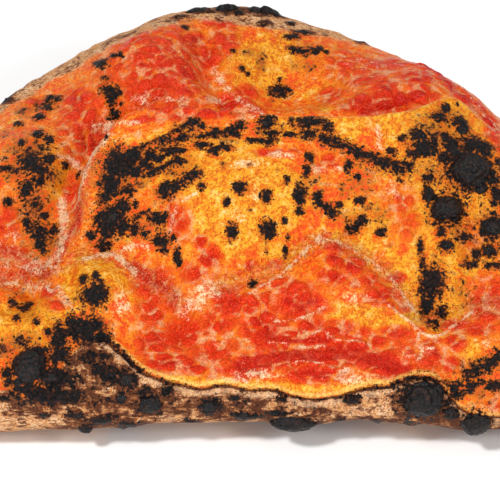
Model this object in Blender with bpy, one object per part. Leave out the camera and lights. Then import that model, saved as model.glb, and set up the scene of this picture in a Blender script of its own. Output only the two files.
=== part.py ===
"""A calzone: a round of dough folded over its filling, sealed along the curved rim and baked until it puffs.

The straight fold is at the front (-Y), the curved rim at the back (+Y) and the two tips lie along X.
The origin is on the table, under the middle of the bounding box. Lengths are in metres, +Z is up.
"""

import bmesh
import bpy
import numpy as np

MM = 0.001

# Driving sizes of the whole loaf
LENGTH = 280 * MM  # tip to tip
FRONT_Y = -83 * MM  # the fold
BACK_Y = 85 * MM  # the middle of the curved rim
TIP_Y = -44 * MM  # the tips sit nearer the fold than the rim
FOLD_HOLLOW = 2.5 * MM  # how far the middle of the fold lies behind its shoulders
RIM_POINT = 2.0  # above 1 the rim runs straighter and more pointed towards the tips
CORNER_POINT = 6  # how square the corners of the fold are

# Cross-section
FRONT_BELLY_Z = 11 * MM  # height of the widest line of the fold
BACK_BELLY_Z = 15 * MM  # the same, along the curved rim
EDGE_POWER = 14  # how tightly the top rolls over at the edge
SOLE_POWER = 10  # how tightly the sole rolls up at the edge
SOLE_PRESS = 1.06  # above 1 the middle of the sole is pressed flat on the table
EDGE_HEIGHT = 27 * MM  # height of the skin just inside the fold

# Mesh
SEGMENTS = 56  # round the cross-section
RINGS = 74  # from tip to tip
TOP_SHARE = 0.78  # share of the segments that lie on the top
EVEN_RINGS = 0.6  # 0 crowds the rings towards the tips, 1 spaces them evenly

# The back of the front bulge: from the fold through the pinch, over its crest, to the right tip (x, y)
CREST = [(-68, -92), (-62, -66), (-58, -44), (-53, -18), (-44, 2), (-30, 9), (0, 5), (30, 4)]
CREST += [(50, 8), (66, 17), (80, 8), (96, -12), (118, -34), (140, -46)]
CREST_WIDTH = 9 * MM  # plan width of the steep drop behind the crest
BULGE_START = -74 * MM  # x where the bulge begins to rise from the left end
BULGE_FADE = 18 * MM  # how far it takes to rise

# Height of the crest along the length (x, z)
CREST_HEIGHT = [(-140, 26), (-60, 40), (-46, 52), (-30, 61), (0, 64), (30, 62)]
CREST_HEIGHT += [(60, 60), (76, 54), (92, 48), (114, 38), (140, 26)]
CREST_RISE = 1.25  # above 1 the front slope is hollow
SHORTEST_RISE = 36 * MM  # the front slope is never shorter than this in plan

# Height of the lower skin behind and beside the bulge (x, z)
SHELF_HEIGHT = [(-140, 25), (-110, 31), (-90, 35), (-67, 39), (-40, 45), (0, 44)]
SHELF_HEIGHT += [(40, 45), (62, 43), (80, 40), (100, 34), (140, 25)]
SHELF_FALL = 0.30  # share of that height lost from the middle to the fold

# Rounded rises (+) and hollows (-) in the skin: centre x, y, half sizes along x and y, height
SWELLS = [
    (-30, 46, 26, 22, 7),  # shoulder at the back left
    (60, 36, 22, 16, 6),  # shoulder at the back right
    (18, 37, 26, 17, -9),  # bowl between them
    (-70, 4, 20, 26, 5),  # left shoulder
    (-78, -58, 20, 12, 3),  # left front
    (-42, -47, 9, 9, 3),  # small swell in front of the pinch
    (-61, -43, 13, 9, -5),  # the pinch itself
    (-19, -60, 24, 13, -5),  # left basin
    (24, -62, 34, 12, -3.5),  # front basin
    (-4, -22, 28, 15, 4),  # tongue above the basins
    (72, -12, 24, 20, 4),  # blistered cheek at the right
    (98, -60, 20, 14, 3),  # right front
]

STROKE_TAPER = 4  # a stroke fades in over the first 1/4 of its line, and out over the last

# Strokes, which are creases (-) or ridges (+): the points of the line, its half width, its height
STROKES = [
    ([(-57, -46), (-55, -22), (-46, 6), (-30, 16), (0, 17), (30, 17), (50, 22), (70, 27)], 7, -6),  # behind it
    ([(-50, -42), (-64, -39), (-80, -33), (-98, -28), (-114, -26)], 6, -5),  # fold from the pinch to the left
    ([(-54, -48), (-66, -50), (-80, -48), (-94, -46)], 5, -2.5),  # second fold, below it
    ([(-9, 66), (-12, 50), (-7, 34), (2, 22), (14, 14)], 6, -4),  # left wall of the bowl
    ([(-55, -40), (-44, -35), (-36, -38), (-28, -46), (-18, -56), (-10, -62)], 7, -4),  # over the small swell
    ([(-14, -58), (-2, -47), (14, -41), (29, -33), (44, -43), (56, -54), (72, -55), (92, -50)], 8, -4),  # crease
    ([(62, -26), (63, -40), (60, -54)], 6, 3),  # ridge down the right cheek
    ([(30, -24), (28, -38), (24, -50)], 6, 1.5),  # ridge down to the front basin
]

# The largest char blisters: where they sit (x, y, z), their radius, their height
BLISTERS = [
    (73, -9, 52, 8, 5),
    (66, -23, 47, 6, 3.5),
    (-64, -74, 24, 9, 4),
    (58, -81, 17, 9, 4),
    (16, -79, 8, 8, 3),
]


def curve_through(points, steps=8):
    """A smooth line through the points (Catmull-Rom), as an array of points in metres."""
    ends = [points[0], *points, points[-1]]
    line = []
    for a, b, c, d in zip(ends, ends[1:], ends[2:], ends[3:]):
        a, b, c, d = (np.array(point, float) for point in (a, b, c, d))
        for step in range(steps):
            f = step / steps
            bend = (2 * a - 5 * b + 4 * c - d) * f**2 + (3 * b - a - 3 * c + d) * f**3
            line.append(b + ((c - a) * f + bend) / 2)
    line.append(np.array(points[-1], float))
    return np.array(line) * MM


def reach(x, y, line):
    """Distance of each point from a line, negative on its right-hand side, and its place along it (0 to 1)."""
    nearest = np.full(np.shape(x), np.inf)
    side = np.ones(np.shape(x))
    place = np.zeros(np.shape(x))
    for step, ((ax, ay), (bx, by)) in enumerate(zip(line, line[1:])):
        dx, dy = bx - ax, by - ay
        f = np.clip(((x - ax) * dx + (y - ay) * dy) / (dx * dx + dy * dy), 0, 1)
        gap = np.hypot(x - ax - f * dx, y - ay - f * dy)
        nearer = gap < nearest
        side = np.where(nearer, np.where(dx * (y - ay) - dy * (x - ax) < 0, -1, 1), side)
        place = np.where(nearer, (step + f) / (len(line) - 1), place)
        nearest = np.where(nearer, gap, nearest)
    return nearest * side, place


def along(points, x):
    """The height of a smooth profile, given as (x, z) points, at each x."""
    line = curve_through(points)
    return np.interp(x, line[:, 0], line[:, 1])


def soft_step(f):
    """0 below 0, 1 above 1 and smooth between."""
    f = np.clip(f, 0, 1)
    return f * f * (3 - 2 * f)


def fold_y(p):
    """Y of the fold, for p from -1 at the left tip to 1 at the right."""
    corner = np.sqrt(1 - np.abs(p) ** CORNER_POINT)
    return TIP_Y + (FRONT_Y + FOLD_HOLLOW * (1 - np.abs(p)) - TIP_Y) * corner


def rim_y(p):
    """Y of the curved rim."""
    return TIP_Y + (BACK_Y - TIP_Y) * np.sqrt(1 - p * p) ** RIM_POINT


def skin_height(x, y, back):
    """Height of the top skin before it rolls over at the edge. back is 0 at the fold and 1 at the rim."""
    p = np.clip(2 * x / LENGTH, -1, 1)
    crest = curve_through(CREST)
    crest_y = np.interp(x, crest[:, 0], crest[:, 1])
    front = fold_y(p)
    rise = np.clip((y - front) / np.maximum(crest_y - front, SHORTEST_RISE), 0, 1)
    bulge = EDGE_HEIGHT + (along(CREST_HEIGHT, x) - EDGE_HEIGHT) * rise**CREST_RISE
    shelf = along(SHELF_HEIGHT, x) * (1 - SHELF_FALL * (1 - soft_step(back / 0.65)))
    behind = soft_step(reach(x, y, crest)[0] / CREST_WIDTH + 0.5)
    bulged = soft_step((x - BULGE_START) / BULGE_FADE) * (1 - behind)
    height = bulge * bulged + shelf * (1 - bulged)
    for cx, cy, rx, ry, up in SWELLS:
        away = ((x - cx * MM) / (rx * MM)) ** 2 + ((y - cy * MM) / (ry * MM)) ** 2
        height = height + up * MM * np.exp(-1.6 * away)
    for points, width, up in STROKES:
        away, f = reach(x, y, curve_through(points))
        taper = soft_step(f * STROKE_TAPER) * soft_step((1 - f) * STROKE_TAPER)
        height = height + up * MM * taper * np.exp(-1.6 * (away / (width * MM)) ** 2)
    return height


def skin_points(balls):
    """Moves the points of a unit ball, whose poles are on X, to the skin of the calzone."""
    ring = np.arccos(np.clip(balls[:, 0], -1, 1)) / np.pi
    p = (1 - EVEN_RINGS) * np.cos(ring * np.pi) + EVEN_RINGS * (1 - 2 * ring)
    chord = np.sqrt(np.maximum(1 - p * p, 0))
    # once round the cross-section: from the rim over the top to the fold, and back under the sole
    loop = np.arctan2(balls[:, 2], balls[:, 1]) / (2 * np.pi) % 1
    on_top = loop <= TOP_SHARE
    top_turn = np.pi * loop / TOP_SHARE
    sole_turn = np.pi * (loop - TOP_SHARE) / (1 - TOP_SHARE)
    across = np.where(on_top, np.cos(top_turn), -np.cos(sole_turn))
    rho = np.sqrt(np.clip(p * p + (chord * across) ** 2, 0, 1))
    back = (across + 1) / 2
    x = p * LENGTH / 2
    y = fold_y(p) + back * (rim_y(p) - fold_y(p))
    belly = FRONT_BELLY_Z + (BACK_BELLY_Z - FRONT_BELLY_Z) * back
    roll = np.sqrt(1 - rho**EDGE_POWER)
    top = belly + (skin_height(x, y, back) - belly) * roll
    sole = np.maximum(belly * (1 - SOLE_PRESS * np.sqrt(1 - rho**SOLE_POWER)), 0)
    return np.stack([x, y, np.where(on_top, top, sole)], axis=1)


def read_points(mesh, name="co"):
    values = np.empty(len(mesh.vertices) * 3, np.float32)
    mesh.vertices.foreach_get(name, values)
    return values.reshape(-1, 3).astype(float)


def raise_blisters(mesh):
    """Pushes the skin out along its normals round each blister."""
    points, normals = read_points(mesh), read_points(mesh, "normal")
    push = np.zeros(len(points))
    for *centre, radius, height in BLISTERS:
        away = np.linalg.norm(points - np.array(centre) * MM, axis=1) / (radius * MM)
        push += height * MM * np.exp(-1.8 * away**2)
    points += normals * push[:, None]
    points[:, 2] = np.maximum(points[:, 2], 0)
    mesh.vertices.foreach_set("co", points.astype(np.float32).ravel())
    mesh.update()


def centre_on_origin(mesh):
    """Slides the mesh over the table until the origin is under the middle of its box."""
    points = read_points(mesh)
    points[:, :2] -= (points[:, :2].max(axis=0) + points[:, :2].min(axis=0)) / 2
    mesh.vertices.foreach_set("co", points.astype(np.float32).ravel())
    mesh.update()


def dough_material():
    material = bpy.data.materials.new("baked_dough")
    material.use_nodes = True
    surface = material.node_tree.nodes["Principled BSDF"]
    surface.inputs["Base Color"].default_value = (0.80, 0.25, 0.04, 1)
    surface.inputs["Roughness"].default_value = 0.5
    surface.inputs["Metallic"].default_value = 0.0
    return material


def make_calzone(collection):
    """A ball with its poles at the tips, drawn out into the folded loaf."""
    shape = bmesh.new()
    bmesh.ops.create_uvsphere(shape, u_segments=SEGMENTS, v_segments=RINGS, radius=1)
    for vert in shape.verts:
        vert.co = (vert.co.z, -vert.co.y, vert.co.x)
    mesh = bpy.data.meshes.new("calzone")
    shape.to_mesh(mesh)
    shape.free()
    mesh.vertices.foreach_set("co", skin_points(read_points(mesh)).astype(np.float32).ravel())
    mesh.update()
    raise_blisters(mesh)
    centre_on_origin(mesh)
    mesh.shade_smooth()
    mesh.materials.append(dough_material())
    calzone = bpy.data.objects.new("calzone", mesh)
    collection.objects.link(calzone)
    return calzone


def main():
    for old in list(bpy.data.objects):
        bpy.data.objects.remove(old)
    collection = bpy.data.collections.new("calzone")
    bpy.context.scene.collection.children.link(collection)
    make_calzone(collection)


main()
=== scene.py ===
"""The looks of a baked calzone: its blistered skin, the sauce on it, its char and the light it is seen in.

Lengths are in metres, +Z is up, the fold is at the front (-Y) and the curved rim at the back (+Y).
"""

import math

import bmesh
import bpy
import numpy as np
from mathutils import Matrix, Vector, noise
from mathutils.bvhtree import BVHTree


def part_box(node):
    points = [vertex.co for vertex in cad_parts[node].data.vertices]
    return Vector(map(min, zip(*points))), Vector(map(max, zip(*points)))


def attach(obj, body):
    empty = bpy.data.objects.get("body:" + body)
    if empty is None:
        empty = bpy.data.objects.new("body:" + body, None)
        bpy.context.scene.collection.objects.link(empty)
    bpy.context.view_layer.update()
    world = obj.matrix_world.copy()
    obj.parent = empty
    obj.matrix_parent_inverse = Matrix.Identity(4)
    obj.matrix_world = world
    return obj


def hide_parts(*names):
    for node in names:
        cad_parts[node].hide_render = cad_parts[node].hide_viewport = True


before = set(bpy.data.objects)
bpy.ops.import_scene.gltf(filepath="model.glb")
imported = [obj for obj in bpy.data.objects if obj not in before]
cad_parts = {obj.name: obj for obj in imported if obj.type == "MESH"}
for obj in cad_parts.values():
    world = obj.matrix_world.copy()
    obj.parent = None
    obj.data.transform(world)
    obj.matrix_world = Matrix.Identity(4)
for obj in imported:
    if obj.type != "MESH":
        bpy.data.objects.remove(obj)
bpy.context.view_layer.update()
MM = 0.001


# --------------------------------------------------------------------------------------------------
# The loaf: a round of dough folded over its filling, so the fold is straight and the sealed rim is
# curved. Steam lifts the front into a bulge with a crest, and behind it lies a lower shelf with a bowl.
# The skin is one closed mesh, a ball with its poles at the tips drawn out into the solid's form.
# --------------------------------------------------------------------------------------------------

LENGTH = 280 * MM
FRONT_Y = -83 * MM
BACK_Y = 85 * MM
TIP_Y = -44 * MM
FOLD_HOLLOW = 2.5 * MM
RIM_POINT = 2.0
CORNER_POINT = 6
FRONT_BELLY_Z = 11 * MM
BACK_BELLY_Z = 15 * MM
EDGE_POWER = 14
SOLE_POWER = 10
SOLE_PRESS = 1.06
EDGE_HEIGHT = 27 * MM

SEGMENTS = 288
RINGS = 340
TOP_SHARE = 0.88

CREST = [
    (-68, -92), (-62, -66), (-58, -44), (-53, -18), (-44, 2), (-30, 9), (0, 5), (30, 4), (50, 8),
    (66, 17), (80, 8), (96, -12), (118, -34), (140, -46),
]
CREST_WIDTH = 9 * MM
BULGE_START = -74 * MM
BULGE_FADE = 18 * MM
CREST_HEIGHT = [
    (-140, 26), (-60, 40), (-46, 52), (-30, 61), (0, 64), (30, 62), (60, 60), (76, 54), (92, 48),
    (114, 38), (140, 26),
]
CREST_RISE = 1.25
SHORTEST_RISE = 36 * MM
SHELF_HEIGHT = [
    (-140, 25), (-110, 31), (-90, 35), (-67, 39), (-40, 45), (0, 44), (40, 45), (62, 43), (80, 40),
    (100, 34), (140, 25),
]
SHELF_FALL = 0.30

# Rounded rises (+) and hollows (-): centre x, y, half sizes along x and y, height
SWELLS = [
    (-30, 46, 26, 22, 7),
    (60, 36, 22, 16, 6),
    (18, 37, 26, 17, -9),
    (-70, 4, 20, 26, 5),
    (-78, -58, 20, 12, 3),
    (-42, -47, 9, 9, 3),
    (-61, -43, 13, 9, -5),
    (-19, -60, 24, 13, -5),
    (24, -62, 34, 12, -3.5),
    (-4, -22, 28, 15, 4),
    (72, -12, 24, 20, 4),
    (98, -60, 20, 14, 3),
]

# Creases (-) and ridges (+): the points of the line, its half width, its height
STROKE_TAPER = 4
STROKES = [
    ([(-57, -46), (-55, -22), (-46, 6), (-30, 16), (0, 17), (30, 17), (50, 22), (70, 27)], 7, -6),
    ([(-50, -42), (-64, -39), (-80, -33), (-98, -28), (-114, -26)], 6, -5),
    ([(-54, -48), (-66, -50), (-80, -48), (-94, -46)], 5, -2.5),
    ([(-9, 66), (-12, 50), (-7, 34), (2, 22), (14, 14)], 6, -4),
    ([(-55, -40), (-44, -35), (-36, -38), (-28, -46), (-18, -56), (-10, -62)], 7, -4),
    ([(-14, -58), (-2, -47), (14, -41), (29, -33), (44, -43), (56, -54), (72, -55), (92, -50)], 8, -4),
    ([(62, -26), (63, -40), (60, -54)], 6, 3),
    ([(30, -24), (28, -38), (24, -50)], 6, 1.5),
]


def curve_through(points, steps=8):
    """A smooth line through points in millimetres, as an array of points in metres."""
    ends = [points[0], *points, points[-1]]
    line = []
    for a, b, c, d in zip(ends, ends[1:], ends[2:], ends[3:]):
        a, b, c, d = (np.array(point, float) for point in (a, b, c, d))
        for step in range(steps):
            f = step / steps
            bend = (2 * a - 5 * b + 4 * c - d) * f**2 + (3 * b - a - 3 * c + d) * f**3
            line.append(b + ((c - a) * f + bend) / 2)
    line.append(np.array(points[-1], float))
    return np.array(line) * MM


def reach(x, y, line):
    """Distance of each point from a line, negative on its right, and its place along it (0 to 1)."""
    nearest = np.full(np.shape(x), np.inf)
    side = np.ones(np.shape(x))
    place = np.zeros(np.shape(x))
    for step, ((ax, ay), (bx, by)) in enumerate(zip(line, line[1:])):
        dx, dy = bx - ax, by - ay
        f = np.clip(((x - ax) * dx + (y - ay) * dy) / (dx * dx + dy * dy), 0, 1)
        gap = np.hypot(x - ax - f * dx, y - ay - f * dy)
        nearer = gap < nearest
        side = np.where(nearer, np.where(dx * (y - ay) - dy * (x - ax) < 0, -1, 1), side)
        place = np.where(nearer, (step + f) / (len(line) - 1), place)
        nearest = np.where(nearer, gap, nearest)
    return nearest * side, place


def along(points, x):
    line = curve_through(points)
    return np.interp(x, line[:, 0], line[:, 1])


def soft_step(f):
    f = np.clip(f, 0, 1)
    return f * f * (3 - 2 * f)


def fold_y(p):
    corner = np.sqrt(1 - np.abs(p) ** CORNER_POINT)
    return TIP_Y + (FRONT_Y + FOLD_HOLLOW * (1 - np.abs(p)) - TIP_Y) * corner


def rim_y(p):
    return TIP_Y + (BACK_Y - TIP_Y) * np.sqrt(1 - p * p) ** RIM_POINT


def skin_height(x, y, back):
    """Height of the top skin before it rolls over at the edge. back is 0 at the fold and 1 at the rim."""
    p = np.clip(2 * x / LENGTH, -1, 1)
    crest = curve_through(CREST)
    crest_y = np.interp(x, crest[:, 0], crest[:, 1])
    front = fold_y(p)
    rise = np.clip((y - front) / np.maximum(crest_y - front, SHORTEST_RISE), 0, 1)
    bulge = EDGE_HEIGHT + (along(CREST_HEIGHT, x) - EDGE_HEIGHT) * rise**CREST_RISE
    shelf = along(SHELF_HEIGHT, x) * (1 - SHELF_FALL * (1 - soft_step(back / 0.65)))
    behind = soft_step(reach(x, y, crest)[0] / CREST_WIDTH + 0.5)
    bulged = soft_step((x - BULGE_START) / BULGE_FADE) * (1 - behind)
    height = bulge * bulged + shelf * (1 - bulged)
    for cx, cy, rx, ry, up in SWELLS:
        away = ((x - cx * MM) / (rx * MM)) ** 2 + ((y - cy * MM) / (ry * MM)) ** 2
        height = height + up * MM * np.exp(-1.6 * away)
    for points, width, up in STROKES:
        away, f = reach(x, y, curve_through(points))
        taper = soft_step(f * STROKE_TAPER) * soft_step((1 - f) * STROKE_TAPER)
        height = height + up * MM * taper * np.exp(-1.6 * (away / (width * MM)) ** 2)
    return height


def skin_points(balls):
    """Moves the points of a unit ball to the skin. They crowd only at the tips and the edges."""
    w = 1 - 2 * np.arccos(np.clip(balls[:, 0], -1, 1)) / np.pi
    p = np.clip(0.85 * w + 0.3667 * w**3 - 0.2167 * w**9, -1, 1)
    chord = np.sqrt(np.maximum(1 - p * p, 0))
    loop = np.arctan2(balls[:, 2], balls[:, 1]) / (2 * np.pi) % 1
    on_top = loop <= TOP_SHARE
    turn = np.where(on_top, 1 - 2 * loop / TOP_SHARE, 2 * (loop - TOP_SHARE) / (1 - TOP_SHARE) - 1)
    across = (5 * turn - turn**5) / 4
    rho = np.sqrt(np.clip(p * p + (chord * across) ** 2, 0, 1))
    back = (across + 1) / 2
    x = p * LENGTH / 2
    y = fold_y(p) + back * (rim_y(p) - fold_y(p))
    belly = FRONT_BELLY_Z + (BACK_BELLY_Z - FRONT_BELLY_Z) * back
    roll = np.sqrt(1 - rho**EDGE_POWER)
    top = belly + (skin_height(x, y, back) - belly) * roll
    sole = np.maximum(belly * (1 - SOLE_PRESS * np.sqrt(1 - rho**SOLE_POWER)), 0)
    z = np.where(on_top, top, sole)
    return np.stack([x, y, z], axis=1), np.where(on_top, rho, 1 + (1 - rho)), back


# How far the baked rim has sunk behind, and how far the fold has curled up off the table: x, height
RIM_SAG = [
    (-140, 3), (-76, 2), (-63, 2.8), (-55, 4.2), (-45, 5), (-38, 4.4), (-31, 2.4), (-20, 1), (-5, -0.4),
    (8, 0.4), (13, 2.4), (25, 4.8), (38, 6.4), (52, 6.2), (60, 5), (70, 5.8), (78, 4.8), (140, 3),
]
FOLD_CURL = [
    (-140, 0), (-80, 0.5), (-60, 2.5), (-40, 4), (-25, 5), (0, 5), (15, 4.6), (30, 6), (42, 7),
    (52, 5.5), (66, 3), (80, 2), (140, 0),
]

shape = bmesh.new()
bmesh.ops.create_uvsphere(shape, u_segments=SEGMENTS, v_segments=RINGS, radius=1)
ball = np.array([(vert.co.z, -vert.co.y, vert.co.x) for vert in shape.verts])
spots, rho, back = skin_points(ball)
spots[:, 1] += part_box("calzone")[1][1] - BACK_Y
on_edge = soft_step((1 - np.abs(rho - 1)) * 5 - 4)
behind = soft_step((back - 0.5) / 0.35) * soft_step((rho - 0.45) / 0.4) * (rho <= 1)
spots[:, 2] -= along(RIM_SAG, spots[:, 0]) * behind * np.clip(spots[:, 2] / (20 * MM), 0, 1)
in_front = on_edge * soft_step((0.4 - back) / 0.3)
spots[:, 2] += along(FOLD_CURL, spots[:, 0]) * in_front * np.clip(1 - spots[:, 2] / (32 * MM), 0, 1)
for vert, spot in zip(shape.verts, spots):
    vert.co = spot
shape.normal_update()
smooth_skin = BVHTree.FromBMesh(shape)
normals = np.array([vert.normal for vert in shape.verts])


# --------------------------------------------------------------------------------------------------
# Where sauce, cream lines, browning and char lie: laid out in millimetres on a flat pattern that
# leans back, x along the loaf and s up the slope. A fan of rays from a point in front presses each mark
# onto the skin, where it spreads as a small ellipsoid and never reaches the skin behind.
# --------------------------------------------------------------------------------------------------

LEAN = math.radians(44)
UP = Vector((0, math.sin(LEAN), math.cos(LEAN)))
OUT = Vector((0, -math.cos(LEAN), math.sin(LEAN)))
MIDDLE = Vector((3.2, 2.2, 2.2)) * MM
FAN = 0.9
outward = (spots - np.array(MIDDLE)) @ np.array(OUT)
spread = 1 - outward / FAN
layout = np.stack([
    MIDDLE.x / MM + (spots[:, 0] - MIDDLE.x) / spread / MM,
    MIDDLE.dot(UP) / MM + ((spots - np.array(MIDDLE)) @ np.array(UP)) / spread / MM,
    outward / MM,
], axis=1)


def pressed(x, s):
    """The place of a pattern point on the skin: x, s and how far the skin stands out there."""
    start = MIDDLE + OUT * FAN
    for inward in range(12):
        upward = s * (1 - inward / 60) * MM - MIDDLE.dot(UP)
        target = MIDDLE + Vector((x * MM - MIDDLE.x, 0, 0)) + UP * upward
        hit = smooth_skin.ray_cast(start, (target - start).normalized())[0]
        if hit:
            return np.array((x, s, (hit - MIDDLE).dot(OUT) / MM))
    return np.array((x, s, 0.0))


def on_skin(x, s):
    """The same place as a point of the model."""
    depth = pressed(x, s)[2] * MM
    across = Vector((x * MM - MIDDLE.x, 0, 0)) + UP * (s * MM - MIDDLE.dot(UP))
    return MIDDLE + OUT * depth + across * (1 - depth / FAN)


def spot_field(marks):
    """1 in the middle of each mark, 0.5 at its edge and 0 well outside.

    A mark is x, s, half width, half height and, if it is weak, its strength."""
    field = np.zeros(len(layout))
    for x, s, across, upward, *given in marks:
        strength = given[0] if given else 1
        radii = np.array((across, upward, 1.4 * max(across, upward) + 1))
        away = np.sqrt((((layout - pressed(x, s)) / radii) ** 2).sum(axis=1))
        field = np.maximum(field, strength * np.clip(1 - away / 2, 0, 1))
    return field


def line_field(lines, fade=2.0):
    """The same for lines. A line is its points (x, s), its half width and its strength."""
    field = np.zeros(len(layout))
    for points, width, *given in lines:
        strength = given[0] if given else 1
        path = [pressed(x / MM, s / MM) for x, s in curve_through(points, steps=3)]
        nearest = np.full(len(layout), np.inf)
        for a, b in zip(path, path[1:]):
            run = b - a
            if not run.any():
                continue
            f = np.clip(((layout - a) @ run) / (run @ run), 0, 1)
            nearest = np.minimum(nearest, np.linalg.norm(layout - a - f[:, None] * run, axis=1))
        field = np.maximum(field, strength * np.clip(1 - nearest / (width * fade), 0, 1))
    return field


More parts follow.
